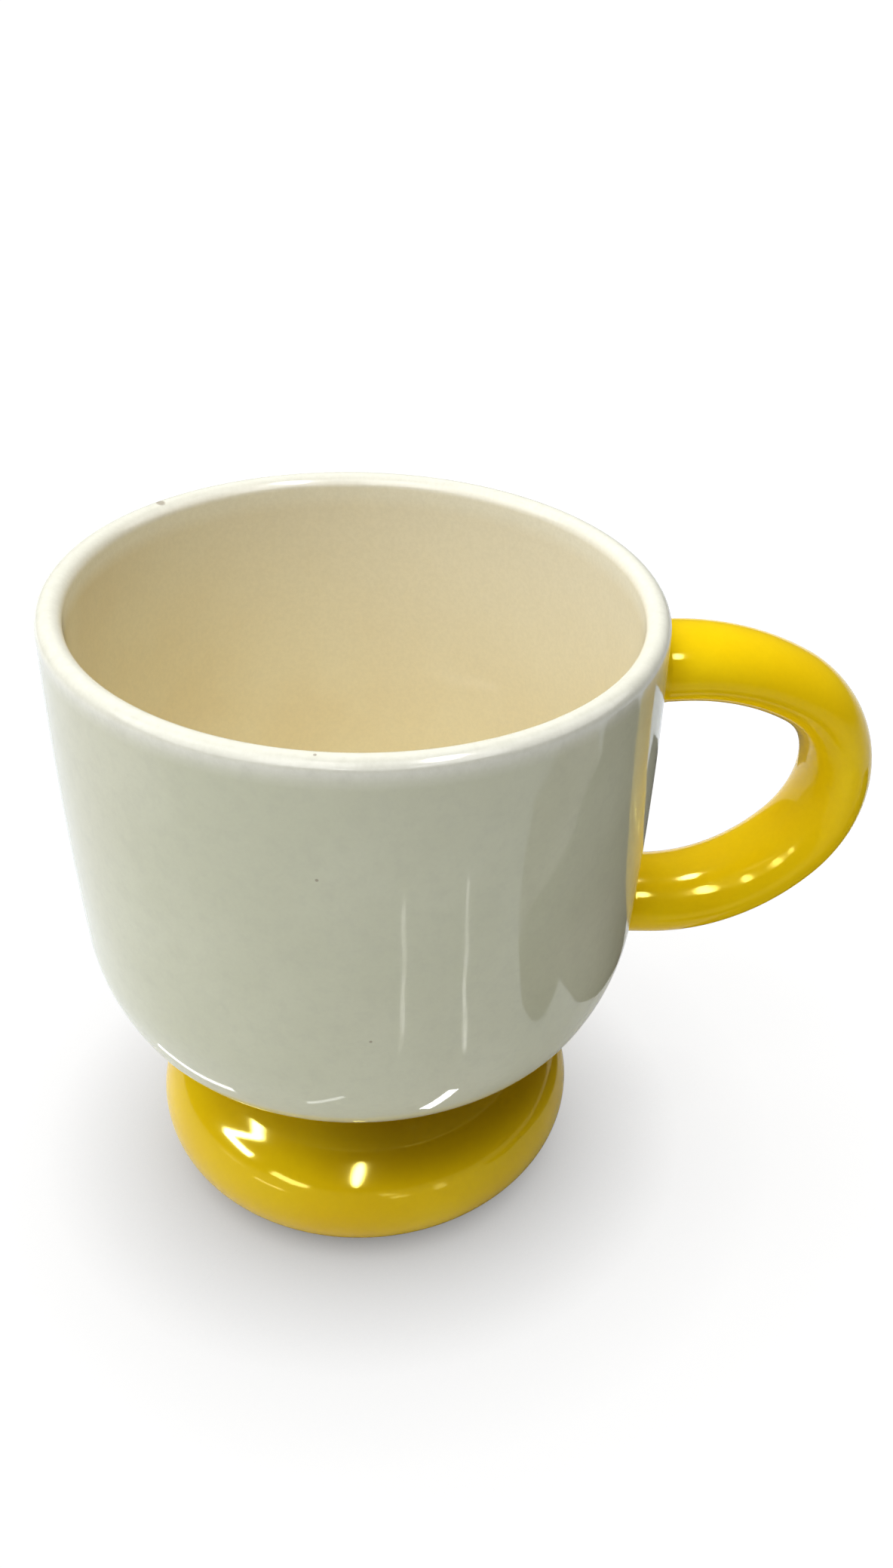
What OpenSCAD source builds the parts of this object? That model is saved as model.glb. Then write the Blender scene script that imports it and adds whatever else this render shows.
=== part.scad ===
// Pedestal mug: a cast bowl on a fat round foot ring, with an oval loop handle.
// Millimetres, +Z up. The origin is the centre of the standing ring, and the handle lies along +X.

/* [Bowl] */
// Outside diameter of the rim
rim_d = 90; // [84:1:96]
// Thickness of the cast wall, and the diameter of the rolled lip
wall_t = 3.8; // [3.2:0.1:5]
// Height of the nearly straight side, below the lip
side_h = 50.6; // [44:0.2:58]
// Radius of the slight bow of the side, seen from the front
side_bow_r = 770; // [600:10:1200]
// Radius of the belly, the soft bend below the side
belly_r = 33; // [29:0.5:37]
// Turn of the belly in degrees
belly_turn = 24; // [20:0.5:28]
// Radius of the heel, the tighter bend below the belly
heel_r = 14; // [12:0.2:17]
// Turn of the heel in degrees
heel_turn = 47.6; // [43:0.1:51]

/* [Foot] */
// Outside diameter of the foot ring
foot_d = 69; // [64:0.2:76]
// Width of the foot ring's oval section
foot_section_w = 24.6; // [21:0.2:27]
// Height of the foot ring's oval section before its underside is ground flat
foot_section_h = 24.8; // [21:0.2:28]
// Depth ground off the underside, which leaves the flat standing ring
foot_flat_depth = 0.5; // [0.3:0.1:1]
// Diameter of the neck between the foot ring and the bowl
neck_d = 37; // [34:0.5:40]
// Height of the neck, from the top of the foot ring to the bowl
neck_h = 5.2; // [4.6:0.1:7]
// Radius of the cove between the foot ring and its neck
neck_cove_r = 2.4; // [1.6:0.1:2.8]
// Diameter of the recess underneath, level with the table
recess_mouth_d = 34; // [31:0.5:36]
// Diameter of the recess where it meets the bowl
recess_top_d = 27; // [24:0.5:30]

/* [Handle] */
// Distance from the rim down to the middle of the handle's upper end
handle_drop = 14.5; // [13:0.5:18]
// Slope of the handle's upper end, in degrees below level
handle_top_slope = 2; // [0:0.5:5]
// Thickness of the handle's oval section, seen from the side
handle_t = 11.3; // [9.5:0.1:13]
// Width of the handle's oval section, seen from the front
handle_w = 17.4; // [14:0.2:20]
// Radius of the soft bend on top of the loop
top_bend_r = 44; // [38:0.5:50]
// Turn of the bend on top, in degrees
top_bend_turn = 29; // [25:0.5:33]
// Radius of the tight bend at the back of the loop
back_bend_r = 19.6; // [18:0.2:22]
// Turn of the bend at the back, in degrees
back_bend_turn = 106; // [101:0.5:110]
// Radius of the soft bend at the bottom of the loop
low_bend_r = 30.7; // [28:0.1:34]
// Turn of the bend at the bottom, in degrees
low_bend_turn = 51.6; // [48:0.2:55]
// Straight length at the handle's upper end, outside the wall
handle_stub_l = 4; // [3:0.5:5]

/* [Slip joints] */
// Radius of the slip fillet round each end of the handle
handle_fillet_r = 1.6; // [1:0.1:2.2]
// Radius of the slip fillet between the neck and the bowl
foot_fillet_r = 3; // [2:0.1:3.2]
// Thickness of a slip fillet at its outer edge
fillet_edge_t = 0.15; // [0.1:0.05:0.3]

/* [Hidden] */

round_fn = 288;
section_points = 48;
// Steps of the skinned forms: degrees from ring to ring along a bend, and rings across a fillet
bend_step = 3.5;
fillet_steps = 5;
// How far the chords of a drawn arc may lie inside the true arc
arc_sag = 0.01;
cream_glaze = [0.84, 0.83, 0.76];
yellow_glaze = [0.93, 0.76, 0.05];

// Turns in degrees
quarter = 90;
half = 180;
full = 360;

// How far a cut runs past the surface that it cuts
overrun = foot_flat_depth * 2;

// A step of the given length along heading a
function along(a, l) = l * [cos(a), sin(a)];

// Points on an arc round c, from angle a to angle b in degrees, close enough together for the sag
function arc(c, r, a, b) =
    let (n = max(2, ceil(abs(b - a) / (2 * acos(1 - arc_sag / r)))))
    [for (i = [0:n]) c + along(a + (b - a) * i / n, r)];

// Points round an oval of half-sizes a and b, grown outwards by g
function oval(a, b, g = 0, n = section_points) =
    [for (i = [0:n - 1]) let (t = full * i / n, d = norm([b * cos(t), a * sin(t)]))
        [a * cos(t) + g * b * cos(t) / d, b * sin(t) + g * a * sin(t) / d]];

// The foot ring's oval section, and the neck that stands on it
foot_a = foot_section_w / 2;
foot_b = foot_section_h / 2;
foot_c = [foot_d / 2 - foot_a, foot_b - foot_flat_depth];
foot_top = foot_c[1] + foot_b;
neck_r = neck_d / 2;
// Height of the top of the foot ring's oval at radius r
function foot_top_z(r) = foot_c[1] + foot_b * sqrt(1 - pow((r - foot_c[0]) / foot_a, 2));
// Share of the cove's radius that stands above the foot ring
cove_share = 0.9;
cove_c = [neck_r + neck_cove_r, foot_top_z(neck_r + neck_cove_r) + neck_cove_r * cove_share];

// The bowl's outline is a chain of arcs, each tangent to the next: side, belly, heel and base.
// Its heights are first counted from the middle of the lip.
rim_r = rim_d / 2;
lip_r = wall_t / 2;
side_end_a = -asin(side_h / side_bow_r);
belly_end_a = side_end_a - belly_turn;
heel_end_a = belly_end_a - heel_turn;
side_c = [rim_r - side_bow_r, 0];
belly_c = side_c + along(side_end_a, side_bow_r - belly_r);
heel_c = belly_c + along(belly_end_a, belly_r - heel_r);
heel_end = heel_c + along(heel_end_a, heel_r);
// The base is a shallow dome centred on the axis
base_r = heel_end[0] / cos(heel_end_a);
base_c = heel_end - along(heel_end_a, base_r);

// The lip's height follows from the foot: the dome rests on top of the neck
lip_z = foot_top + neck_h - (base_c[1] - sqrt(pow(base_r, 2) - pow(neck_r, 2)));
lip_centre = [rim_r - lip_r, lip_z];
mug_h = lip_z + lip_r;
// Height of the bowl's underside at radius r
function underside_z(r) = lip_z + base_c[1] - sqrt(pow(base_r, 2) - pow(r, 2));

// The outline from the lip down to the axis, set in from the outside by t
function bowl_outline(t) = [for (p = concat(
    arc(side_c, side_bow_r - t, 0, side_end_a),
    arc(belly_c, belly_r - t, side_end_a, belly_end_a),
    arc(heel_c, heel_r - t, belly_end_a, heel_end_a),
    arc(base_c, base_r - t, heel_end_a, -quarter))) p + [0, lip_z]];

// Radius of the bowl's outside at height z
outside_by_height = [for (p = bowl_outline(0)) [p[1], p[0]]];
function wall_r_at(z) = lookup(z, outside_by_height);
// Distance of the outside from the YZ plane at height z, off the middle by y
function wall_x_at(y, z) = sqrt(pow(wall_r_at(z), 2) - pow(y, 2));
// Distance from point p, off the middle by y, to the wall, measured outwards along heading a
function to_wall(p, y, a, l = 0, tries = 4) =
    tries == 0 ? l : to_wall(p, y, a, (wall_x_at(y, p[1] + l * sin(a)) - p[0]) / cos(a), tries - 1);
// Level distance from point p out to the wall, which is negative outside the bowl
function depth_in_wall(p) = wall_r_at(p[1]) - p[0];

// The handle leaves the wall at its upper end and bends back to it.
// A place on its centreline is a point and a heading in degrees above +X.
embed_share = 0.75;
handle_embed = wall_t * embed_share;
handle_top_z = mug_h - handle_drop;
top_heading = -handle_top_slope;
top_wall_p = [wall_r_at(handle_top_z), handle_top_z];
function bend_end(p, a, r, turn) = p + along(a - quarter, r) + along(a + quarter - turn, r);
top_bend_p = top_wall_p + along(top_heading, handle_stub_l);
back_bend_p = bend_end(top_bend_p, top_heading, top_bend_r, top_bend_turn);
back_heading = top_heading - top_bend_turn;
low_bend_p = bend_end(back_bend_p, back_heading, back_bend_r, back_bend_turn);
low_heading = back_heading - back_bend_turn;
low_stub_p = bend_end(low_bend_p, low_heading, low_bend_r, low_bend_turn);
end_heading = low_heading - low_bend_turn;

// Points and headings along the handle's centreline, from the upper end to the lower one
function bend_path(p, a, r, turn) =
    let (n = ceil(turn / bend_step))
    [for (i = [0:n]) [bend_end(p, a, r, turn * i / n), a - turn * i / n]];
function tail(list) = [for (i = [1:len(list) - 1]) list[i]];
loop_path = concat(
    bend_path(top_bend_p, top_heading, top_bend_r, top_bend_turn),
    tail(bend_path(back_bend_p, back_heading, back_bend_r, back_bend_turn)),
    tail(bend_path(low_bend_p, low_heading, low_bend_r, low_bend_turn)),
    [[low_stub_p + along(end_heading, rim_r), end_heading]]);
// The first place after i where the centreline is inside the wall
function wall_place(i) = depth_in_wall(loop_path[i][0]) > 0 ? i : wall_place(i + 1);
in_place = wall_place(1);
from_place = loop_path[in_place - 1];
// There the lower end runs straight on to the wall, and both ends run a little way into it
low_heading_in = atan2(loop_path[in_place][0][1] - from_place[0][1], loop_path[in_place][0][0] - from_place[0][0]);
low_wall_p = from_place[0] + along(low_heading_in, -to_wall(from_place[0], 0, low_heading_in + half));
handle_path = concat(
    [[top_wall_p - along(top_heading, handle_embed), top_heading]],
    [for (i = [0:in_place - 1]) loop_path[i]],
    [[low_wall_p + along(low_heading_in, handle_embed), low_heading_in]]);
// Steps along the centreline, from either end, that the slip fillets reach
joint_places = 3;

module bowl_solid_outline() {
    polygon(concat(
        [[0, mug_h]],
        arc(lip_centre, lip_r, quarter, 0),
        tail(bowl_outline(0))));
}

// The bowl with its inside filled, which cuts whatever is stuck to its outside
module bowl_solid() {
    rotate_extrude($fn = round_fn) bowl_solid_outline();
}

module bowl_section() {
    inside = bowl_outline(wall_t);
    polygon(concat(
        arc(lip_centre, lip_r, half, 0),
        tail(bowl_outline(0)),
        [for (i = [len(inside) - 1:-1:1]) inside[i]]));
}

module neck_outline() {
    top_z = underside_z(neck_r) + overrun;
    polygon(concat(
        [[0, foot_c[1]], [cove_c[0], foot_c[1]]],
        arc(cove_c, neck_cove_r, -quarter, -half),
        [[neck_r, top_z], [0, top_z]]));
}

module foot_outline() {
    translate(foot_c) polygon(oval(foot_a, foot_b));
    neck_outline();
}

module recess_outline() {
    mouth_r = recess_mouth_d / 2;
    top_r = recess_top_d / 2;
    height = underside_z(top_r);
    spread = (mouth_r - top_r) / height * overrun;
    polygon([
        [0, -overrun],
        [mouth_r + spread, -overrun],
        [top_r - spread, height + overrun],
        [0, height + overrun]]);
}

module foot_section() {
    difference() {
        foot_outline();
        bowl_solid_outline();
        recess_outline();
        translate([0, -foot_section_h]) square([foot_d, foot_section_h]);
    }
}

// A cove from the neck out to the underside of the bowl, with a thin land at each edge
module foot_joint_section() {
    outer_r = neck_r + fillet_edge_t + foot_fillet_r;
    c = [outer_r, underside_z(outer_r) - fillet_edge_t - foot_fillet_r];
    top_z = underside_z(outer_r) + overrun;
    difference() {
        polygon(concat(
            [[neck_r, c[1]]],
            arc(c, foot_fillet_r, half, quarter),
            [[outer_r, top_z], [neck_r, top_z]]));
        bowl_solid_outline();
        foot_outline();
    }
}

// A closed skin over rings of points, each ring as long as the next
module skin(rings) {
    n = len(rings[0]);
    last = len(rings) - 1;
    sides = [for (k = [0:last - 1], i = [0:n - 1]) let (j = (i + 1) % n)
        each [[k * n + i, k * n + j, (k + 1) * n + i], [k * n + j, (k + 1) * n + j, (k + 1) * n + i]]];
    near_cap = [for (i = [1:n - 2]) [0, i + 1, i]];
    far_cap = [for (i = [1:n - 2]) [last * n, last * n + i, last * n + i + 1]];
    polyhedron([for (r = rings) each r], concat(sides, near_cap, far_cap));
}

// The handle's oval section, standing square to the centreline at each place along a path
module handle_run(path) {
    skin([for (s = path) let (up = along(s[1] + quarter, 1))
        [for (q = oval(handle_t / 2, handle_w / 2))
            [s[0][0] + q[0] * up[0], q[1], s[0][1] + q[0] * up[1]]]]);
}

// One ring of a slip fillet: the handle's oval grown by g, at a distance d off the wall.
// The handle leaves the wall at point p with heading a.
function fillet_ring(p, a, g, d) =
    [for (q = oval(handle_t / 2, handle_w / 2, g))
        let (from = p + along(a + quarter, q[0]), on = from + along(a, to_wall(from, q[1], a) + d))
        [on[0], q[1], on[1]]];

// A fillet from the wall to the handle: a land on the wall, a hollow face, and a land on the handle
module handle_fillet(p, a) {
    skin(concat(
        [fillet_ring(p, a, fillet_edge_t + handle_fillet_r, -overrun)],
        [for (i = [0:fillet_steps]) let (t = quarter * i / fillet_steps)
            fillet_ring(p, a, fillet_edge_t + handle_fillet_r * (1 - sin(t)),
                fillet_edge_t + handle_fillet_r * (1 - cos(t)))]));
}

module bowl() {
    color(cream_glaze) rotate_extrude($fn = round_fn) bowl_section();
}

module pedestal_foot() {
    color(yellow_glaze) rotate_extrude($fn = round_fn) foot_section();
}

module foot_joint() {
    color(yellow_glaze) rotate_extrude($fn = round_fn) foot_joint_section();
}

module handle() {
    color(yellow_glaze)
        difference() {
            handle_run(handle_path);
            bowl_solid();
        }
}

module upper_handle_joint() {
    color(yellow_glaze)
        difference() {
            handle_fillet(top_wall_p, top_heading);
            handle_run([for (i = [0:joint_places]) handle_path[i]]);
            bowl_solid();
        }
}

module lower_handle_joint() {
    color(yellow_glaze)
        difference() {
            handle_fillet(low_wall_p, low_heading_in + half);
            handle_run([for (i = [joint_places:-1:0]) handle_path[len(handle_path) - 1 - i]]);
            bowl_solid();
        }
}

bowl();
pedestal_foot();
handle();
upper_handle_joint();
lower_handle_joint();
foot_joint();
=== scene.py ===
import math

import bpy
import numpy as np
from mathutils import Matrix, Vector


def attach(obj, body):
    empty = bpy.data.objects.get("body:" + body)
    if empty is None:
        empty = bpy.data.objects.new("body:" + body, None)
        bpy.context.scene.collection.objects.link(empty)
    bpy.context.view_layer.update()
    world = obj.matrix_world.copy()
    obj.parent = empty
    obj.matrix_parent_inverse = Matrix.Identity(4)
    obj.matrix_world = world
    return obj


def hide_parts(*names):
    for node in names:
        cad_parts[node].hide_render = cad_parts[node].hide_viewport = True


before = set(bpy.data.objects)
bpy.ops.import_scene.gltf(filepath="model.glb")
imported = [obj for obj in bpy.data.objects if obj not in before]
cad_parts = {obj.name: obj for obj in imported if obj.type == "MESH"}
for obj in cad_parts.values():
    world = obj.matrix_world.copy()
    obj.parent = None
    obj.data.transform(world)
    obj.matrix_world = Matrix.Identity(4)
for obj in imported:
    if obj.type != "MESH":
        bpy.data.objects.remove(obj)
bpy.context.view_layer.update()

# Sizes are in millimetres unless a comment says metres, and MM turns them into metres.
# Angles are in degrees unless a comment says radians.
MM = 0.001

# The solids' own dimensions, which the finer meshes repeat
RIM_R = 45.0
WALL_T = 3.8
MUG_H = 104.764
LIP_R = WALL_T / 2
LIP_Z = MUG_H - LIP_R
SIDE_H = 50.6
SIDE_R = 770.0
BELLY_R = 33.0
BELLY_TURN = 24.0
HEEL_R = 14.0
HEEL_TURN = 47.6
NECK_R = 18.5
RECESS_MOUTH_R = 17.0
RECESS_TOP_R = 13.5
HANDLE_T = 11.3
HANDLE_W = 17.4
HANDLE_DROP = 14.5
TOP_SLOPE = 2.0
STUB_L = 4.0
HANDLE_FILLET_R = 1.6
FOOT_FILLET_R = 3.0

# The foot ring's oval section: its middle as (radius, height), and half its width and height
FOOT_C = (22.2, 11.9)
FOOT_A = 12.3
FOOT_B = 12.4

# The cove between the ring and the neck: its radius, and its middle's height over the ring, in radii
COVE_R = 2.4
COVE_SHARE = 0.9

# The radius and turn of the handle's bends, from the top down
BENDS = ((44.0, 29.0), (19.6, 106.0), (30.7, 51.6))

# How far the hidden ends and backs reach into the clay that they meet
HANDLE_EMBED = 1.2
FOOT_EMBED = 0.4
SLIP_EMBED = 0.5
SLIP_UNDER_BOWL = 0.3
SLIP_UNDER_HANDLE = 0.6
SLIP_BACK_STEP = 0.2

# How finely the forms are drawn: steps round the axis, round the handle and along each stretch
ROUND = 288
SECTION = 72
SIDE_STEPS, BELLY_STEPS, HEEL_STEPS, BASE_STEPS = 44, 12, 14, 26
LIP_STEPS = 28
RECESS_ROWS, INNER_EDGE_ROWS, FLAT_ROWS, RING_ROWS, COVE_STEPS, NECK_ROWS = 30, 8, 7, 110, 12, 8
FOOT_FILLET_STEPS, HANDLE_FILLET_STEPS = 14, 12
STUB_STEPS = 3
BEND_STEP = 1.5
LOW_STUB_SHARES = (0.35, 0.7, 1.0)

# The glaze's waves: their depth, the distance along each piece that counts as one, and the height
# from which they start on the foot, so that its flat stays level on the table
WAVE = 0.06
BOWL_WAVE_L, FOOT_WAVE_L, HANDLE_WAVE_L = 100, 60, 60
FOOT_WAVE_FROM = 0.3

# The lip's painted light, a paler band for the light on its top and its sheen, starts below the
# lip's middle, lower still on the inside, and fades in upwards
LIP_PALE_DROP = 2.2
LIP_PALE_DROP_INSIDE = 1.3
LIP_PALE_FADE = 2.6

# The clay is bare at the foot's flat, up to this height and with this fade
BARE_TOP = 0.55
BARE_FADE = 0.5

# Darker ochre, as a share: in the recess; at the handle's ends, thick glaze with painted shade in
# the crease; and painted shade on the foot from a height up to the bowl
RECESS_DARKER = 0.3
HANDLE_POOL_AND_SHADE = 0.25
HANDLE_DARK_REACH = 5
SHADE_FROM = 14
SHADE_RISE = 8
# Where the foot's painted shade is lighter, on its lit side, and two painted shade patches lower
# down: side, spread and share.
# A spread is the cosine of the angle from the side at which the effect ends.
LIT_SIDE_LESS_SHADE = (195, 0.2, 0.75)
LOW_SHADE_PATCHES = ((332, 0.5, 0.24), (232, 0.6, 0.27))
LOW_SHADE_FROM = 1
SHADE_FULL_SPREAD = 0.9

# How often a search is narrowed down: halvings of a range, and steps towards the wall
HALVINGS = 50
WALL_TRIES = 6
NEAR_ZERO = 1e-6
FULL_TURN = 2 * math.pi  # radians
rng = np.random.default_rng(41)


def heading(a):
    """The unit step along heading a, in degrees above +X."""
    return np.array([math.cos(math.radians(a)), math.sin(math.radians(a))])


def arc(c, r, a, b, n):
    """n + 1 points on an arc round c from angle a to angle b."""
    t = np.radians(np.linspace(a, b, n + 1))
    return np.column_stack([c[0] + r * np.cos(t), c[1] + r * np.sin(t)])


def smooth(x):
    """A soft step that is 0 below 0 and 1 above 1."""
    x = np.clip(x, 0, 1)
    return x * x * (3 - 2 * x)


def travelled(line):
    """The distance along a line of points, from its first point to each one."""
    return np.concatenate([[0], np.cumsum(np.linalg.norm(np.diff(line, axis=0), axis=1))])


# The bowl's outline is a chain of arcs, each tangent to the next
side_end = -math.degrees(math.asin(SIDE_H / SIDE_R))
belly_end = side_end - BELLY_TURN
heel_end = belly_end - HEEL_TURN
side_c = np.array([RIM_R - SIDE_R, LIP_Z])
belly_c = side_c + heading(side_end) * (SIDE_R - BELLY_R)
heel_c = belly_c + heading(belly_end) * (BELLY_R - HEEL_R)
heel_p = heel_c + heading(heel_end) * HEEL_R
BASE_R = heel_p[0] / heading(heel_end)[0]
base_c = heel_p - heading(heel_end) * BASE_R


def bowl_outline(t):
    """The outline from the lip down to the axis, set in from the outside by t."""
    line = np.vstack([
        arc(side_c, SIDE_R - t, 0, side_end, SIDE_STEPS),
        arc(belly_c, BELLY_R - t, side_end, belly_end, BELLY_STEPS)[1:],
        arc(heel_c, HEEL_R - t, belly_end, heel_end, HEEL_STEPS)[1:],
        arc(base_c, BASE_R - t, heel_end, -90, BASE_STEPS)[1:],
    ])
    line[-1, 0] = 0
    return line


# The wall is read from the outline outside this radius, where the outline only rises
WALL_FROM_R = 31
outside = bowl_outline(0)
by_height = outside[outside[:, 0] > WALL_FROM_R][::-1]


def wall_r(z):
    """Radius of the bowl's outside at height z."""
    return np.interp(z, by_height[:, 1], by_height[:, 0])


def underside_z(r):
    """Height of the bowl's underside at radius r."""
    return base_c[1] - math.sqrt(BASE_R ** 2 - r ** 2)


def place_object(name, data):
    """A new object in the scene."""
    obj = bpy.data.objects.new(name, data)
    bpy.context.scene.collection.objects.link(obj)
    return obj


def make_mesh(name, verts, faces, material, sharp=(), layers=None):
    """A smooth-shaded object from points in millimetres, with any float layers on its points."""
    mesh = bpy.data.meshes.new(name)
    mesh.from_pydata([tuple(v) for v in np.asarray(verts) * MM], [], faces)
    mesh.polygons.foreach_set("use_smooth", [True] * len(mesh.polygons))
    if len(sharp):
        wanted = {tuple(sorted(e)) for e in sharp}
        for e in mesh.edges:
            e.use_edge_sharp = tuple(sorted(e.vertices)) in wanted
    for key, values in (layers or {}).items():
        layer = mesh.attributes.new(key, "FLOAT", "POINT")
        layer.data.foreach_set("value", np.asarray(values, np.float32))
    mesh.materials.append(material)
    mesh.update()
    return place_object(name, mesh)


def ripple(count, round_waves, along_waves):
    """A seeded field from -1 to 0, of gentle waves: each has fewer than round_waves crests round
    the axis, and up to along_waves of them over one wave length of the piece."""
    waves = [(int(rng.integers(1, round_waves)), rng.uniform(0, along_waves),
              rng.uniform(0, FULL_TURN), rng.uniform(0.5, 1)) for _ in range(count)]
    total = sum(strength for *_, strength in waves)

    def field(angle, way):
        height = sum(strength * np.cos(rounds * angle + FULL_TURN * pitch * way + phase)
                     for rounds, pitch, phase, strength in waves)
        return height / total / 2 - 0.5
    return field


def revolve(name, profile, material, closed=False, sharp_at=(), depth=None, layers=None):
    """Turns a profile of (radius, height) round the axis. A point on the axis becomes a pole.
    The profile runs with the clay on its left, and a negative depth(angle, i) sinks a point into it."""
    profile = np.asarray(profile, float)
    n = len(profile)
    ahead = np.roll(profile, -1, 0) - np.roll(profile, 1, 0)
    if not closed:
        ahead[0], ahead[-1] = profile[1] - profile[0], profile[-1] - profile[-2]
    normal = np.column_stack([ahead[:, 1], -ahead[:, 0]])
    normal /= np.linalg.norm(normal, axis=1)[:, None]
    angles = np.arange(ROUND) * 2 * math.pi / ROUND
    verts, rows, given = [], [], {k: [] for k in (layers or {})}
    for i, (r, z) in enumerate(profile):
        pole = r < NEAR_ZERO
        turn = angles[:1] if pole else angles
        move = np.zeros(len(turn)) if depth is None or pole else depth(turn, i)
        moved_r, moved_z = r + normal[i, 0] * move, z + normal[i, 1] * move
        rows.append([len(verts)] * ROUND if pole else list(range(len(verts), len(verts) + ROUND)))
        verts.extend(np.column_stack([moved_r * np.cos(turn), moved_r * np.sin(turn),
                                      moved_z * np.ones(len(turn))]))
        for k in given:
            given[k].extend(layers[k](turn, i) if callable(layers[k]) else [layers[k][i]] * len(turn))
    faces = []
    for i in range(n if closed else n - 1):
        a, b = rows[i], rows[(i + 1) % n]
        for j in range(ROUND):
            k = (j + 1) % ROUND
            face = [a[j], a[k], b[k], b[j]]
            faces.append([v for m, v in enumerate(face) if v != face[m - 1]])
    sharp = [(rows[i][j], rows[i][(j + 1) % ROUND]) for i in sharp_at for j in range(ROUND)]
    return make_mesh(name, verts, faces, material, sharp, given)


class Graph:
    """Adds nodes to a tree. An input may be given a number, a colour or another node's output."""

    def __init__(self, tree):
        self.tree = tree

    def add(self, kind, inputs=None, **settings):
        node = self.tree.nodes.new(kind)
        for key, value in settings.items():
            setattr(node, key, value)
        for key, value in (inputs or {}).items():
            if isinstance(value, bpy.types.NodeSocket):
                self.tree.links.new(value, node.inputs[key])
            else:
                node.inputs[key].default_value = value
        return node

    def place(self):
        """Where a point lies on its object, in metres."""
        return self.add("ShaderNodeTexCoord").outputs["Object"]

    def math(self, operation, *values):
        node = self.add("ShaderNodeMath", dict(enumerate(values)), operation=operation)
        return node.outputs[0]

    def measure(self, operation, *vectors):
        """A number that is worked out from vectors, such as a distance."""
        node = self.add("ShaderNodeVectorMath", dict(enumerate(vectors)), operation=operation)
        return node.outputs["Value"]

    def ramp(self, value, low, high, to_low=0.0, to_high=1.0):
        """A smooth step of value from low to high."""
        node = self.add("ShaderNodeMapRange", {"Value": value, "From Min": low, "From Max": high,
                                               "To Min": to_low, "To Max": to_high},
                        interpolation_type="SMOOTHSTEP")
        return node.outputs["Result"]

    def mix(self, share, a, b):
        """The colour that goes from a to b with the share. The numbers are the colour sockets' own."""
        return self.add("ShaderNodeMix", {0: share, 6: a, 7: b}, data_type="RGBA").outputs[2]

    def tinge(self, colour, mask, strength, tone):
        """The colour, with some of a tone where the mask is 1."""
        return self.mix(self.math("MULTIPLY", mask, strength), colour, tone)

    def noise(self, vector, scale, detail=2.0, roughness=0.5):
        """Noise from 0 to 1, of the given scale to the metre."""
        node = self.add("ShaderNodeTexNoise", {"Vector": vector, "Scale": scale, "Detail": detail,
                                               "Roughness": roughness})
        return node.outputs["Fac"]

    def layer(self, name):
        """A float layer that the mesh carries on its points."""
        node = self.add("ShaderNodeAttribute", attribute_name=name, attribute_type="GEOMETRY")
        return node.outputs["Fac"]

    def direct_ray(self, path):
        """1 for a ray that reaches the camera straight or through something clear, and otherwise 0."""
        return self.math("MAXIMUM", path.outputs["Is Camera Ray"], path.outputs["Is Transmission Ray"])


def new_material(name):
    """An empty material, and the graph that fills it."""
    mat = bpy.data.materials.new(name)
    mat.use_nodes = True
    mat.node_tree.nodes.clear()
    return mat, Graph(mat.node_tree)


def rgb(r, g, b):
    return (r, g, b, 1.0)


# Colours of the cream glaze: outside; inside, painted warmer and paler for the light that falls
# and bounces into the bowl; and on the lip, painted paler for the light on its top and its sheen.
# Each comes with the tone that it clouds into
OUTSIDE_CREAM = rgb(0.600, 0.612, 0.445), rgb(0.645, 0.656, 0.49)
INSIDE_CREAM_PAINTED_WARM = rgb(0.80, 0.705, 0.462), rgb(0.83, 0.76, 0.53)
LIP_PAINTED_LIGHT = rgb(0.81, 0.805, 0.70), rgb(0.94, 0.92, 0.80)
OUTSIDE_DRIFT = rgb(0.655, 0.63, 0.48)
# Painted light: the paler inside, towards the bowl's far side and top
INSIDE_PAINTED_LIGHT = rgb(0.905, 0.865, 0.72)
CREAM_GRAIN = rgb(0.50, 0.48, 0.36)
CREAM_MOTTLE = rgb(0.46, 0.46, 0.36)
SPECK_BROWN = rgb(0.24, 0.19, 0.13)
SPOT_BROWN = rgb(0.22, 0.16, 0.10)

# Colours of the yellow glaze, and of the bare clay that it leaves at the foot
YELLOW = rgb(0.94, 0.62, 0.003), rgb(0.96, 0.67, 0.005)
YELLOW_POOL_AND_SHADE = rgb(0.50, 0.30, 0.001)
YELLOW_GRAIN = rgb(0.55, 0.33, 0.0)
YELLOW_SHINE = rgb(1.0, 0.88, 0.2)
BARE_CLAY = rgb(0.74, 0.68, 0.58)

# The way, in the bowl, towards its far side and its top, along which painted light makes the inside
# paler
PAINTED_LIGHT_WAY = (0.35, 0.6, 0.7)

# A nick in the rim and three iron specks: where, and their radius
SPOTS = (((-25.9, 34.3, 104.7), 0.9), ((-12.1, -41.6, 104.7), 0.3), ((-12.6, -43.0, 86.6), 0.3),
         ((-6.0, -43.2, 57.9), 0.3))


def glaze_bump(g, place, peel, wave):
    """The glaze's surface: a long slow wave and a fine orange peel, of the given heights."""
    slow = g.noise(place, 70, 1.0)
    fine = g.noise(place, 900, 2.0)
    first = g.add("ShaderNodeBump", {"Height": slow, "Strength": 1.0, "Distance": wave * MM})
    return g.add("ShaderNodeBump", {"Height": fine, "Strength": 1.0, "Distance": peel * MM,
                                    "Normal": first.outputs[0]}).outputs[0]


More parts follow.
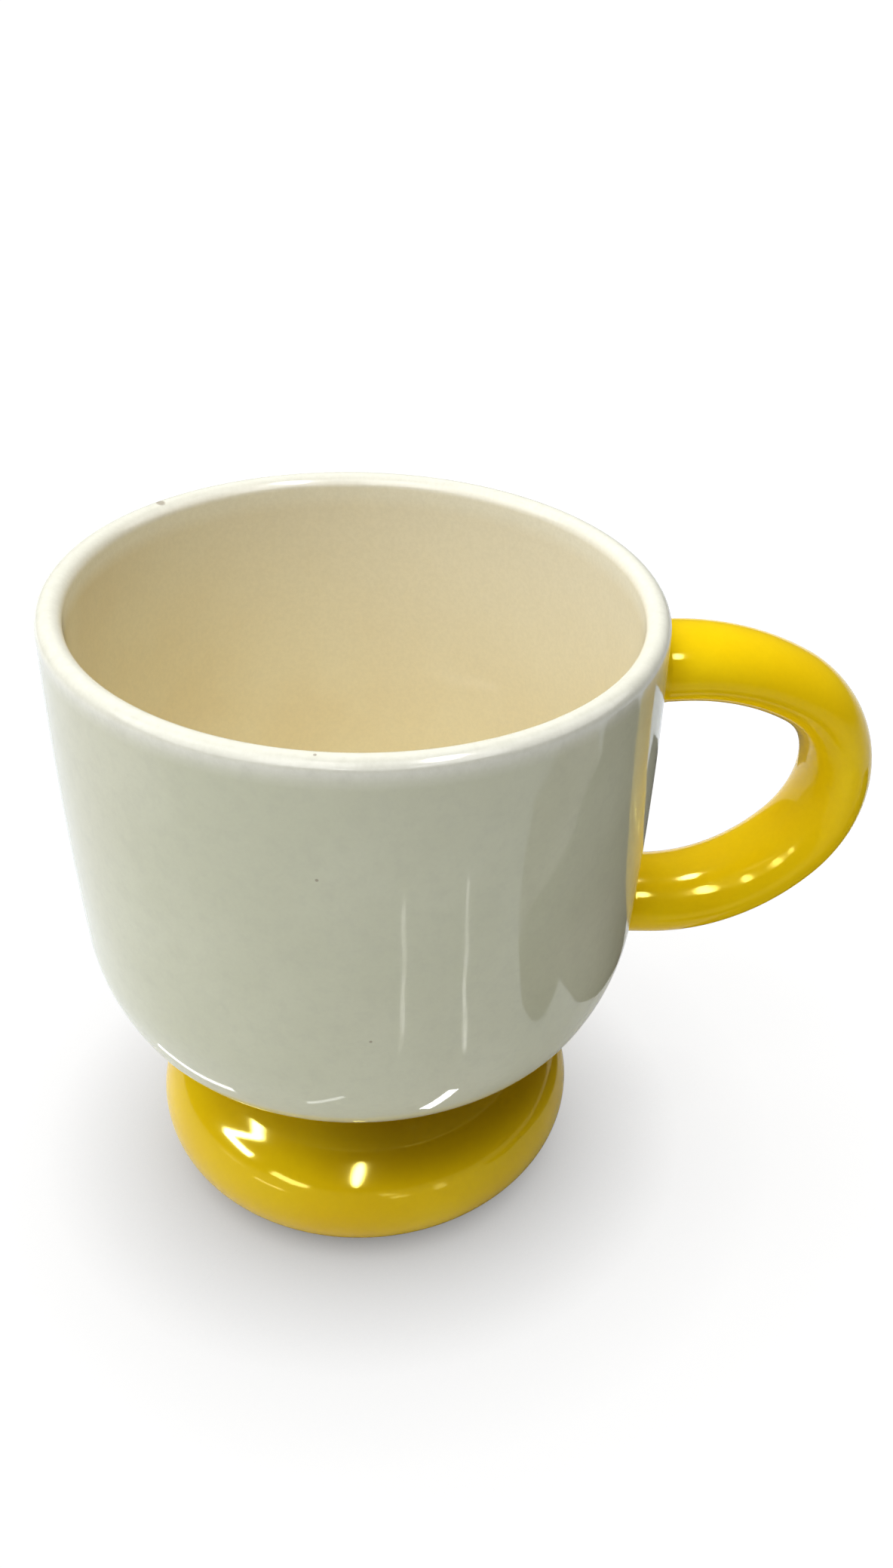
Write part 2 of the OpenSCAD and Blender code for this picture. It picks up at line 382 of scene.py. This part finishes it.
def cream_glaze():
    """Cream that clouds, with painted light that makes it warmer and paler inside and paler on the lip,
    and with fine grain, mottle and specks.
    """
    mat, g = new_material("cream_glaze_look")
    place = g.place()
    inner, lip = g.layer("inner"), g.layer("lip")

    cloud = g.ramp(g.noise(place, 38, 3.0), 0.35, 0.65)
    drift = g.ramp(g.noise(place, 16, 2.0), 0.4, 0.6)
    outer_colour = g.tinge(g.mix(cloud, *OUTSIDE_CREAM), drift, 0.35, OUTSIDE_DRIFT)
    # Painted light: the inside turns paler towards its far side and top
    toward_painted_light = g.measure("DOT_PRODUCT", place, PAINTED_LIGHT_WAY)
    inner_colour = g.mix(g.ramp(toward_painted_light, 0.055, 0.098, 0.0, 0.9), g.mix(cloud, *INSIDE_CREAM_PAINTED_WARM), INSIDE_PAINTED_LIGHT)
    # Painted light and sheen: the lip is paler, most of all on its inner curve
    lip_colour = g.mix(g.ramp(inner, 0.5, 1.0), *LIP_PAINTED_LIGHT)
    colour = g.mix(lip, g.mix(inner, outer_colour, inner_colour), lip_colour)

    grain = g.ramp(g.noise(place, 1400, 2.0, 0.7), 0.3, 0.7)
    colour = g.tinge(colour, grain, 0.10, CREAM_GRAIN)
    mottle = g.ramp(g.noise(place, 420, 3.0, 0.6), 0.42, 0.72)
    colour = g.tinge(colour, mottle, g.ramp(inner, 0.0, 1.0, 0.14, 0.03), CREAM_MOTTLE)

    cells = g.add("ShaderNodeTexVoronoi", {"Vector": place, "Scale": 120.0}, feature="F1")
    dot = g.ramp(cells.outputs["Distance"], 0.03, 0.055, 1.0, 0.0)
    draw = g.add("ShaderNodeSeparateColor", {"Color": cells.outputs["Color"]}).outputs[0]
    specks = g.math("MULTIPLY", dot, g.math("GREATER_THAN", draw, 0.95))
    colour = g.tinge(colour, specks, 0.6, SPECK_BROWN)
    for spot, size in SPOTS:
        gap = g.measure("DISTANCE", place, Vector(spot) * MM)
        colour = g.mix(g.ramp(gap, size * 0.5 * MM, size * MM, 0.6, 0.0), colour, SPOT_BROWN)

    rough = g.ramp(g.noise(place, 55, 2.0), 0.3, 0.7, 0.045, 0.08)
    shader = g.add("ShaderNodeBsdfPrincipled", {
        "Base Color": colour,
        "Roughness": g.math("MAXIMUM", rough, g.ramp(lip, 0.0, 0.5, 0.0, 0.09)),
        "IOR": 1.6,
        "Normal": glaze_bump(g, place, 0.0035, 0.12)})
    g.add("ShaderNodeOutputMaterial", {"Surface": shader.outputs[0]})
    return mat


def yellow_glaze():
    """Yellow that clouds and darkens where the glaze is thick and where shade is painted in, over clay
    that is bare at the foot.
    """
    mat, g = new_material("yellow_glaze_look")
    place = g.place()
    pool_and_shade, bare = g.layer("pool_and_shade"), g.layer("bare")
    cloud = g.ramp(g.noise(place, 55, 3.0), 0.3, 0.7)
    # Darker ochre where the glaze is thick and where shade is painted in
    colour = g.mix(pool_and_shade, g.mix(cloud, *YELLOW), YELLOW_POOL_AND_SHADE)
    grain = g.ramp(g.noise(place, 1100, 2.0, 0.7), 0.3, 0.7)
    colour = g.tinge(colour, grain, 0.05, YELLOW_GRAIN)
    shader = g.add("ShaderNodeBsdfPrincipled", {
        "Base Color": g.mix(bare, colour, BARE_CLAY),
        "Roughness": g.ramp(bare, 0.2, 0.8, 0.09, 0.7),
        "IOR": 1.42,
        "Specular Tint": YELLOW_SHINE,
        "Normal": glaze_bump(g, place, 0.003, 0.10)})
    g.add("ShaderNodeOutputMaterial", {"Surface": shader.outputs[0]})
    return mat


cream, yellow = cream_glaze(), yellow_glaze()

# Bowl: outside from the axis up, over the lip, and down the inside to the axis
lip_c = (RIM_R - LIP_R, LIP_Z)
inside = bowl_outline(WALL_T)
lip_arc = arc(lip_c, LIP_R, 0, 180, LIP_STEPS)[1:-1]
bowl_line = np.vstack([outside[::-1], lip_arc, inside])
bowl_way = travelled(bowl_line) / BOWL_WAVE_L
swell = ripple(9, 6, 1.6)
inner_share = np.concatenate([np.zeros(len(outside)), np.linspace(0, 1, len(lip_arc)),
                              np.ones(len(inside))])
pale_from = LIP_Z - LIP_PALE_DROP - LIP_PALE_DROP_INSIDE * inner_share
lip_share = smooth((bowl_line[:, 1] - pale_from) / LIP_PALE_FADE)
bowl = revolve("bowl_glazed", bowl_line, cream,
               depth=lambda a, i: swell(a, bowl_way[i]) * WAVE,
               layers={"lip": lip_share, "inner": inner_share})
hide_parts("bowl")


def foot_top_z(r):
    """Height of the top of the foot ring's oval at radius r."""
    return FOOT_C[1] + FOOT_B * math.sqrt(1 - ((r - FOOT_C[0]) / FOOT_A) ** 2)


def foot_angle(r):
    """The angle round the oval, in radians, at which its top is at radius r."""
    return math.acos((r - FOOT_C[0]) / FOOT_A)


def oval_point(t):
    """A point on the foot ring's oval, at angle t in radians."""
    return np.array([FOOT_C[0] + FOOT_A * math.cos(t), FOOT_C[1] + FOOT_B * math.sin(t)])


def recess_r(z):
    """Radius of the recess at height z."""
    return RECESS_MOUTH_R - recess_slope * z


def crossing(inside_of, low, high):
    """The angle between low and high where inside_of changes from true to false."""
    for _ in range(HALVINGS):
        mid = (low + high) / 2
        low, high = (mid, high) if inside_of(mid) else (low, mid)
    return (low + high) / 2


# Foot: down the recess, round the oval ring with its flat, down into the cove and up the neck
recess_slope = (RECESS_MOUTH_R - RECESS_TOP_R) / underside_z(RECESS_TOP_R)
flat_half = FOOT_A * math.sqrt(1 - (FOOT_C[1] / FOOT_B) ** 2)
ring_edge = math.asin(-FOOT_C[1] / FOOT_B)
recess_t = crossing(lambda t: oval_point(t)[0] < recess_r(oval_point(t)[1]),
                    -math.pi * 0.95, -math.pi / 2)
cove_c = np.array([NECK_R + COVE_R, foot_top_z(NECK_R + COVE_R) + COVE_R * COVE_SHARE])
cove_t = crossing(lambda t: np.linalg.norm(oval_point(t) - cove_c) > COVE_R,
                  foot_angle(cove_c[0]) - 0.25, foot_angle(NECK_R))
cove_start = oval_point(cove_t) - cove_c
cove_a = math.degrees(math.atan2(cove_start[1], cove_start[0]))
recess_top = underside_z(RECESS_TOP_R) + FOOT_EMBED
neck_top = underside_z(NECK_R) + FOOT_EMBED
foot_line = np.vstack([
    [[recess_r(z), z] for z in np.linspace(recess_top, oval_point(recess_t)[1], RECESS_ROWS)],
    [oval_point(t) for t in np.linspace(recess_t, -math.pi - ring_edge, INNER_EDGE_ROWS)[1:]],
    [[FOOT_C[0] + x, 0] for x in np.linspace(-flat_half, flat_half, FLAT_ROWS)[1:]],
    [oval_point(t) for t in np.linspace(ring_edge, cove_t, RING_ROWS)[1:]],
    arc(cove_c, COVE_R, cove_a, -180, COVE_STEPS)[1:],
    [[NECK_R, z] for z in np.linspace(cove_c[1], neck_top, NECK_ROWS)[1:]],
])
foot_way = travelled(foot_line) / FOOT_WAVE_L
foot_swell = ripple(7, 5, 1.5)
foot_z = foot_line[:, 1]
bare_share = np.clip((BARE_TOP - foot_z) / BARE_FADE, 0, 1)
# Painted shade on the foot's top under the bowl, and the recess darker by its own share
foot_pool_and_shade = smooth((foot_z - SHADE_FROM) / SHADE_RISE)
foot_pool_and_shade[:RECESS_ROWS] = RECESS_DARKER


def pool_and_shade_at(angle, i):
    """Painted shade under the bowl, lighter on the lit side, and two painted shade patches lower down.
    """
    def near(side, spread, share):
        """The share at the given side, which fades out to 0 at the spread."""
        fade = (np.cos(angle - math.radians(side)) - spread) / (SHADE_FULL_SPREAD - spread)
        return share * smooth(fade)
    pool_and_shade = foot_pool_and_shade[i] * (1 - near(*LIT_SIDE_LESS_SHADE))
    if i < RECESS_ROWS or foot_z[i] <= LOW_SHADE_FROM:
        return pool_and_shade
    return np.maximum(pool_and_shade, sum(near(*run) for run in LOW_SHADE_PATCHES))


foot = revolve("foot_glazed", foot_line, yellow, closed=True,
               sharp_at=(0, len(foot_line) - 1),
               depth=lambda a, i: foot_swell(a, foot_way[i]) * WAVE * (foot_z[i] > FOOT_WAVE_FROM),
               layers={"pool_and_shade": pool_and_shade_at, "bare": bare_share})
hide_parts("pedestal_foot")

# Slip between the neck and the bowl: the hollow face that shows, then the hidden back
slip_r = NECK_R + FOOT_FILLET_R
slip_c = (slip_r, underside_z(slip_r) - FOOT_FILLET_R)
slip_face = arc(slip_c, FOOT_FILLET_R, 180, 90, FOOT_FILLET_STEPS)
slip_line = np.vstack([
    slip_face,
    [slip_face[-1][0], slip_face[-1][1] + SLIP_EMBED],
    [NECK_R - SLIP_EMBED, underside_z(NECK_R) + SLIP_UNDER_BOWL],
    [NECK_R - SLIP_EMBED, slip_face[0][1]],
])
n_slip = len(slip_line)
# The slip is darker ochre all over: thick glaze and painted shade in the crease under the bowl
foot_slip = revolve("foot_slip", slip_line, yellow, closed=True,
                    sharp_at=(0, len(slip_face) - 1, n_slip - 2, n_slip - 1),
                    layers={"pool_and_shade": np.ones(n_slip), "bare": np.zeros(n_slip)})
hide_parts("foot_joint")


def bend_end(p, a, r, turn):
    """Where a bend of radius r to the right ends, from p with heading a."""
    return p + heading(a - 90) * r + heading(a + 90 - turn) * r


def wall_x(y, z):
    """The X of the bowl's outside, off the middle by y, at height z."""
    return math.sqrt(wall_r(z) ** 2 - y ** 2)


def to_wall(p, y, a):
    """Distance from p, off the middle by y, to the wall along heading a."""
    step, length = heading(a), 0.0
    for _ in range(WALL_TRIES):
        length = (wall_x(y, p[1] + length * step[1]) - p[0]) / step[0]
    return length


# Handle: an oval swept along three bends from wall to wall. Its line holds points and headings.
handle_z = MUG_H - HANDLE_DROP
top_wall = np.array([wall_r(handle_z), handle_z])
p, a = top_wall, -TOP_SLOPE
line = [(top_wall - heading(a) * HANDLE_EMBED, a)]
line += [(top_wall + heading(a) * way, a) for way in np.linspace(0, STUB_L, STUB_STEPS + 1)[:-1]]
p = top_wall + heading(a) * STUB_L
for r, turn in BENDS:
    steps = math.ceil(turn / BEND_STEP)
    line += [(bend_end(p, a, r, turn * i / steps), a - turn * i / steps) for i in range(steps)]
    p, a = bend_end(p, a, r, turn), a - turn
line.append((p, a))
low_dir = a + 180
low_wall = p + heading(low_dir) * to_wall(p, 0, low_dir)
line += [(p + (low_wall - p) * share, a) for share in LOW_STUB_SHARES]
line.append((low_wall + heading(a) * HANDLE_EMBED, a))

oval_t = np.arange(SECTION) * 2 * math.pi / SECTION
half_t, half_w = HANDLE_T / 2, HANDLE_W / 2


def oval(grow=0.0):
    """Points of the handle's section, grown outwards."""
    d = np.hypot(half_w * np.cos(oval_t), half_t * np.sin(oval_t))
    return np.column_stack([half_t * np.cos(oval_t) + grow * half_w * np.cos(oval_t) / d,
                            half_w * np.sin(oval_t) + grow * half_t * np.sin(oval_t) / d])


def skin(name, rings, material, loop=False, sharp_at=(), layers=None):
    """A skin over rings of points. With loop the last ring joins the first, and otherwise the
    ends are capped."""
    rings = [np.asarray(r) for r in rings]
    m = len(rings[0])
    verts = np.vstack(rings)
    faces = []
    for k in range(len(rings) if loop else len(rings) - 1):
        a, b = k * m, ((k + 1) % len(rings)) * m
        faces += [[a + (i + 1) % m, a + i, b + i, b + (i + 1) % m] for i in range(m)]
    if not loop:
        faces += [list(range(m)), list(range(len(verts) - 1, len(verts) - m - 1, -1))]
    sharp = [(k * m + i, k * m + (i + 1) % m) for k in sharp_at for i in range(m)]
    return make_mesh(name, verts, faces, material, sharp, layers)


handle_swell = ripple(7, 4, 1.2)
# Each ring is darker near the wall: thick glaze, and painted shade in the crease where the handle meets
# it
rings, pool_and_shade = [], []
for (c, a), way in zip(line, travelled([c for c, a in line]) / HANDLE_WAVE_L):
    dent = 1 + handle_swell(oval_t, way) * WAVE / half_t
    q = oval() * dent[:, None]
    up = heading(a + 90)
    ring = np.column_stack([c[0] + q[:, 0] * up[0], q[:, 1], c[1] + q[:, 0] * up[1]])
    off = np.hypot(ring[:, 0], ring[:, 1]) - wall_r(ring[:, 2])
    rings.append(ring)
    pool_and_shade.append(np.clip(1 - off / HANDLE_DARK_REACH, 0, 1) * HANDLE_POOL_AND_SHADE)
pool_and_shade = np.concatenate(pool_and_shade)
handle = skin("handle_glazed", rings, yellow, sharp_at=(0, len(rings) - 1),
              layers={"pool_and_shade": pool_and_shade, "bare": np.zeros(len(pool_and_shade))})
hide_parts("handle")


def fillet(name, node, p, a):
    """The slip fillet where the handle leaves the wall at p with heading a, darker ochre all over for
    thick glaze and painted shade in the crease.
    """
    def ring(grow, off):
        """A ring round the handle, grown from its section and standing off the wall."""
        points = []
        for q in oval(grow):
            start = p + heading(a + 90) * q[0]
            on = start + heading(a) * (to_wall(start, q[1], a) + off)
            points.append([on[0], q[1], on[1]])
        return np.array(points)
    r, steps = HANDLE_FILLET_R, HANDLE_FILLET_STEPS
    face = [ring(r * (1 - math.sin(t)), r * (1 - math.cos(t)))
            for t in np.linspace(0, math.pi / 2, steps + 1)]
    back = [ring(-SLIP_UNDER_HANDLE, r), ring(-SLIP_UNDER_HANDLE, -SLIP_EMBED),
            ring(r - SLIP_BACK_STEP, -SLIP_EMBED)]
    rings = face + back
    n = len(rings) * SECTION
    sharp = (0, steps, steps + 1, steps + 2, steps + 3)
    piece = skin(name, rings, yellow, loop=True, sharp_at=sharp,
                 layers={"pool_and_shade": np.full(n, HANDLE_POOL_AND_SHADE), "bare": np.zeros(n)})
    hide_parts(node)
    return piece


upper_slip = fillet("upper_handle_slip", "upper_handle_joint", top_wall, -TOP_SLOPE)
lower_slip = fillet("lower_handle_slip", "lower_handle_joint", low_wall, low_dir)

for piece, slot_name in ((bowl, "cream_glaze"), (foot, "yellow_glaze"), (foot_slip, "yellow_glaze"),
                         (handle, "yellow_glaze"), (upper_slip, "yellow_glaze"),
                         (lower_slip, "yellow_glaze")):
    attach(piece, "root")

# Stage: a white floor. The mug's shadow on it is mostly painted, by ambient occlusion in its glow,
# with a little real shadow. Its colours are for the glaze's reflections of it, painted darker near
# the mug and plain in the open, for the camera, and for every other ray.
FLOOR_HALF = 4000
FLOOR_PAINTED_SHADOW = rgb(0.34, 0.36, 0.39)
FLOOR_OPEN = rgb(0.75, 0.78, 0.82)
FLOOR_TO_CAMERA = rgb(0.12, 0.12, 0.12)
FLOOR_TO_REST = rgb(0.9, 0.9, 0.9)
WHITE = rgb(1, 1, 1)

# The floor's glow to the camera, with the mug's shadow painted into it: how far the painted shade
# reaches in metres, the glow right at the mug, what the open floor adds, and what is added further
# away, over a range in metres
SHADE_REACH = 0.04
GLOW_BY_MUG = 0.12
GLOW_OPEN = 0.76
GLOW_FAR = 0.12
FAR_RANGE = (0.07, 0.2)


def floor_material():
    """The camera sees white with the mug's shadow, mostly painted from ambient occlusion, and the glaze
    reflects a lit floor with a shadow painted near the mug.
    """
    mat, g = new_material("floor_white")
    away = g.measure("LENGTH", g.place())
    path = g.add("ShaderNodeLightPath")
    camera_ray = g.direct_ray(path)
    open_share = g.add("ShaderNodeAmbientOcclusion", {"Distance": SHADE_REACH}).outputs["AO"]
    # Painted shadow in reflections: the floor's reflected colour darkens where the mug is near
    reflected = g.mix(open_share, FLOOR_PAINTED_SHADOW, FLOOR_OPEN)
    tint = g.mix(path.outputs["Is Glossy Ray"], FLOOR_TO_REST, reflected)
    diffuse = g.add("ShaderNodeBsdfDiffuse", {"Color": g.mix(camera_ray, tint, FLOOR_TO_CAMERA)})
    # Painted shadow: the glow fades where ambient occlusion finds the mug nearby
    painted_shadow_glow = g.math("MULTIPLY_ADD", open_share, GLOW_OPEN, GLOW_BY_MUG)
    light = g.math("ADD", painted_shadow_glow, g.ramp(away, *FAR_RANGE, 0.0, GLOW_FAR))
    glow = g.add("ShaderNodeEmission", {"Color": WHITE,
                                        "Strength": g.math("MULTIPLY", camera_ray, light)})
    both = g.add("ShaderNodeAddShader", {0: diffuse.outputs[0], 1: glow.outputs[0]})
    g.add("ShaderNodeOutputMaterial", {"Surface": both.outputs[0]})
    return mat


def flat_face(name, outline, height, material):
    """A single level face."""
    mesh = bpy.data.meshes.new(name)
    corners = [(x * MM, y * MM, height * MM) for x, y in outline]
    mesh.from_pydata(corners, [], [list(range(len(outline)))])
    mesh.materials.append(material)
    return place_object(name, mesh)


floor = flat_face("floor", [(-FLOOR_HALF, -FLOOR_HALF), (FLOOR_HALF, -FLOOR_HALF),
                            (FLOOR_HALF, FLOOR_HALF), (-FLOOR_HALF, FLOOR_HALF)], 0, floor_material())

# Cards just over the floor, which only the glaze's reflections show: three dark things, and two
# thin bright edges, broken up by noise and faded out far in front of the mug
CARD_Z, EDGE_Z = 0.4, 0.6
EDGE_FADE = (-0.149, -0.139)  # metres along Y
EDGE_WHITE = rgb(1, 1, 0.95)
# Where the darkest card meets the dim one in front of it
CARD_SEAM = [(174, -38), (167, -46), (159, -52), (149, -57), (139, -60), (127, -67), (118, -72),
             (107, -79), (97, -84), (88, -85)]
DARK_FRONT = [(80, -84), (73, -76), (67, -67), (66, -58), (67, -53), (72, -49), (78, -47), (84, -46),
              (82, -39), (80, -31), (74, -18), (68, -1), (66, 24), (78, 30), (92, 36), (120, 38),
              (150, 38), (190, 40), (230, 30), (230, -20), (200, -36)] + CARD_SEAM
DIM_FRONT = [(132, -115), (111, -108), (100, -102), (90, -94), (82, -86),
             (80, -84)] + CARD_SEAM[::-1] + [(200, -50), (190, -100)]
DARK_SIDE = [(70, 40), (130, 60), (142, 84), (118, 100), (95, 106), (60, 120), (40, 80)]
EDGE_NEAR = [(7.4, -149), (11, -149), (8.6, -131), (9.2, -120), (6.4, -108), (6.6, -99), (4.6, -90),
             (2.4, -90), (3.6, -99), (4.4, -108), (6.0, -120), (5.6, -131)]
EDGE_FAR = [(60, -134), (63, -134), (54, -120), (49.5, -108), (43, -98), (39, -88), (34.5, -80),
            (32.5, -80), (36, -88), (41, -98), (46, -108), (52, -120)]


def card(name, outline, height, colour, strength, broken=False):
    """A glowing card. A broken one is uneven along its length."""
    mat, g = new_material(name)
    if broken:
        place = g.place()
        along = g.add("ShaderNodeSeparateXYZ", {0: place}).outputs["Y"]
        faded = g.math("MULTIPLY", g.ramp(along, *EDGE_FADE),
                       g.ramp(g.noise(place, 130), 0.3, 0.6, 0.5, 1.2))
        strength = g.math("MULTIPLY", faded, strength)
    glow = g.add("ShaderNodeEmission", {"Color": colour, "Strength": strength})
    g.add("ShaderNodeOutputMaterial", {"Surface": glow.outputs[0]})
    obj = flat_face(name, outline, height, mat)
    obj.visible_camera = obj.visible_diffuse = False
    obj.visible_transmission = obj.visible_shadow = False


card("dark_front", DARK_FRONT, CARD_Z, rgb(1.0, 0.65, 0.4), 0.04)
card("dim_front", DIM_FRONT, CARD_Z, rgb(0.9, 0.85, 0.8), 0.5)
card("dark_side", DARK_SIDE, CARD_Z, rgb(0.9, 0.9, 0.8), 0.15)
card("edge_near", EDGE_NEAR, EDGE_Z, EDGE_WHITE, 2.8, broken=True)
card("edge_far", EDGE_FAR, EDGE_Z, EDGE_WHITE, 3.2, broken=True)

# World: white to the camera, and a dim room to the glaze's reflections and to light
world = bpy.data.worlds.new("room")
bpy.context.scene.world = world
world.use_nodes = True
world.node_tree.nodes.clear()
g = Graph(world.node_tree)
room = g.add("ShaderNodeBackground", {"Color": rgb(1.0, 0.98, 0.95), "Strength": 0.06})
white = g.add("ShaderNodeBackground", {"Color": WHITE, "Strength": 1.0})
direct = g.direct_ray(g.add("ShaderNodeLightPath"))
chosen = g.add("ShaderNodeMixShader", {0: direct, 1: room.outputs[0], 2: white.outputs[0]})
g.add("ShaderNodeOutputWorld", {"Surface": chosen.outputs[0]})

# The softboxes' distance and side, and the point that the lamps are aimed at, all in metres
SOFTBOX_AWAY = 0.9
SOFTBOX_SIDE = 0.5
MIDDLE = Vector((0.0, 0.0, 0.06))
UP = Vector((0, 0, 1))
# How far the lamps' images lie above the table
IMAGE_Z = 1


def lamp(name, place, target, size, radiance, shape="RECTANGLE", across=None):
    """An area lamp of the given radiance, aimed at a point. Its first size lies along across.
    Everything is in metres."""
    data = bpy.data.lights.new(name, "AREA")
    data.shape = shape
    data.size, data.size_y = size
    data.energy = radiance * math.pi * size[0] * size[1] * (math.pi / 4 if shape == "ELLIPSE" else 1)
    back = (Vector(place) - Vector(target)).normalized()
    side = Vector(across) if across is not None else UP.cross(back)
    if side.length < NEAR_ZERO:
        side = Vector((1, 0, 0))
    side = (side - back * side.dot(back)).normalized()
    turn = Matrix((side, back.cross(side), back)).transposed().to_4x4()
    obj = place_object(name, data)
    obj.matrix_world = Matrix.Translation(place) @ turn
    return obj


def only_on(glint, piece):
    """Keeps a glint to one piece's reflections."""
    seen_by = bpy.data.collections.new(glint.name + "_on_" + piece.name)
    seen_by.objects.link(piece)
    glint.light_linking.receiver_collection = seen_by
    glint.visible_diffuse = glint.visible_camera = False


def strip(name, piece, start, end, width, radiance, shape="RECTANGLE", target=None):
    """A glint from start to end. Without a target it shines straight up."""
    start, end = Vector(start) * MM, Vector(end) * MM
    middle = (start + end) / 2
    target = middle + UP if target is None else target
    glint = lamp(name, middle, target, ((end - start).length, width * MM), radiance, shape,
                 across=end - start)
    only_on(glint, piece)


# Softboxes: degrees round from +Y towards +X, degrees above the floor, and radiance
for round_by, above, radiance in (
        (0, 90, 2.45), (-170, 64, 2.45), (-110, 64, 3.75), (-50, 64, 1.2), (10, 64, 3.3),
        (-80, 36, 1.5), (-35, 36, 1.1), (10, 36, 1.45), (-110, 12, 0.38), (-50, 12, 0.9)):
    a, e = math.radians(round_by), math.radians(above)
    way = Vector((math.sin(a) * math.cos(e), math.cos(a) * math.cos(e), math.sin(e)))
    box = lamp("softbox", MIDDLE + SOFTBOX_AWAY * way, MIDDLE, (SOFTBOX_SIDE, SOFTBOX_SIDE), radiance)
    box.visible_glossy = False

# Glints, lamps that only one piece's glaze reflects: start, end, width, radiance and shape
for piece, start, end, width, radiance, shape in (
        (foot, (-439, 133, 687), (-647, -152, 501), 80, 150, "RECTANGLE"),
        (foot, (-647, -152, 501), (-791, -8, 252), 75, 150, "RECTANGLE"),
        (foot, (-791, -8, 252), (-767, -267, 180), 90, 150, "RECTANGLE"),
        (foot, (-149, -608, 600), (-229, -820, 120), 76, 150, "ELLIPSE"),
        (foot, (-271, -188, 41), (-202, -264, 4), 34, 24, "RECTANGLE"),
        (bowl, (215, -160, 900), (200, -600, 620), 150, 14, "ELLIPSE"),
        (bowl, (0, -260, 880), (0, -820, 230), 1100, 1.8, "ELLIPSE"),
        (bowl, (-230, -130, 880), (-710, -410, 230), 1100, 1.8, "ELLIPSE"),
        (bowl, (230, -130, 880), (710, -410, 230), 1100, 1.8, "ELLIPSE"),
        (bowl, (-120, -640, 330), (-230, -610, 340), 26, 14, "ELLIPSE"),
        (bowl, (60, -650, 380), (210, -610, 400), 22, 14, "ELLIPSE")):
    strip("glint", piece, start, end, width, radiance, shape, target=MIDDLE)

# The handle's glints stand close to it: place, point aimed at, heading of the first size, the
# two sizes and radiance
for place, target, across, size, radiance in (
        ((60, 5, 78), (54.4, -3.6, 49.8), (0, 1, 0), (6, 2.8), 80),
        ((59, -16.5, 76), (56.1, -6.4, 48.7), (1, 0, 0), (2.0, 13), 80),
        ((54.3, -11.2, 64), (45.4, -6.2, 49.1), (1, 0, 0), (2.2, 5), 60),
        ((45.8, -38.1, 98.5), (63.8, -6.7, 50.6), (0.94, 0, 0.34), (3, 24), 50),
        ((44.3, -31.8, 81.8), (68.6, -6.9, 53.2), (0.82, 0, 0.57), (3.1, 18), 28),
        ((40.5, -29.8, 79.2), (71.0, -6.8, 55.4), (0.71, 0, 0.71), (2.4, 13), 24),
        ((58, -9, 122), (47.3, -6.1, 94.1), (1, 0, 0), (1.6, 8), 60)):
    glint = lamp("handle_glint", Vector(place) * MM, Vector(target) * MM,
                 (size[0] * MM, size[1] * MM), radiance, "ELLIPSE", across=across)
    only_on(glint, handle)

# Lamps' images in the tabletop, which light the glaze's lower edges: start, end, width, radiance
for piece, start, end, width, radiance in (
        (bowl, (-54, 5), (-39, -21), 3, 3.2),
        (bowl, (9, -36), (19, -47), 4, 9),
        (bowl, (-24, -41), (-16, -53), 2, 2),
        (foot, (-79, -50), (-56, -59), 5, 14),
        (foot, (-224, -33), (-148, -58), 25, 3),
        (foot, (-8, -181), (-1, -123), 14, 6),
        (foot, (4, -103), (6, -86), 12, 6),
        (foot, (52, -131), (29, -78), 8, 5)):
    strip("table_glint", piece, (*start, IMAGE_Z), (*end, IMAGE_Z), width, radiance)

# The camera, solved from the photograph: its distance from the axis, height and sensor, then its
# angles in radians, then lengths and shifts in the photograph's own pixels
CAMERA_D = 217.2218
CAMERA_Z = 215.616
SENSOR = 36.0
HANDLE_TURN = 0.14647
YAW = 0.18495 + HANDLE_TURN
PITCH = 0.62028
ROLL = 0.0931
FOCAL_PX = 2200.0
LONG_SIDE_PX = 2080.0
SHIFT_X_PX = -225.23864
SHIFT_Y_PX = 93.32458

forward = Vector((math.sin(YAW) * math.cos(PITCH), math.cos(YAW) * math.cos(PITCH),
                  -math.sin(PITCH)))
level_right = Vector((math.cos(YAW), -math.sin(YAW), 0))
level_up = level_right.cross(forward)
right = level_right * math.cos(ROLL) + level_up * math.sin(ROLL)
up = level_up * math.cos(ROLL) - level_right * math.sin(ROLL)
lens = bpy.data.cameras.new("camera")
lens.sensor_width = SENSOR
lens.lens = FOCAL_PX / LONG_SIDE_PX * SENSOR
lens.shift_x = SHIFT_X_PX / LONG_SIDE_PX
lens.shift_y = SHIFT_Y_PX / LONG_SIDE_PX
camera = place_object("camera", lens)
stand = Vector((-CAMERA_D * math.sin(HANDLE_TURN), -CAMERA_D * math.cos(HANDLE_TURN), CAMERA_Z))
turn = Matrix((right, up, -forward)).transposed().to_4x4()
camera.matrix_world = Matrix.Translation(stand * MM) @ turn
bpy.context.scene.camera = camera
bpy.context.scene.view_settings.view_transform = "Standard"
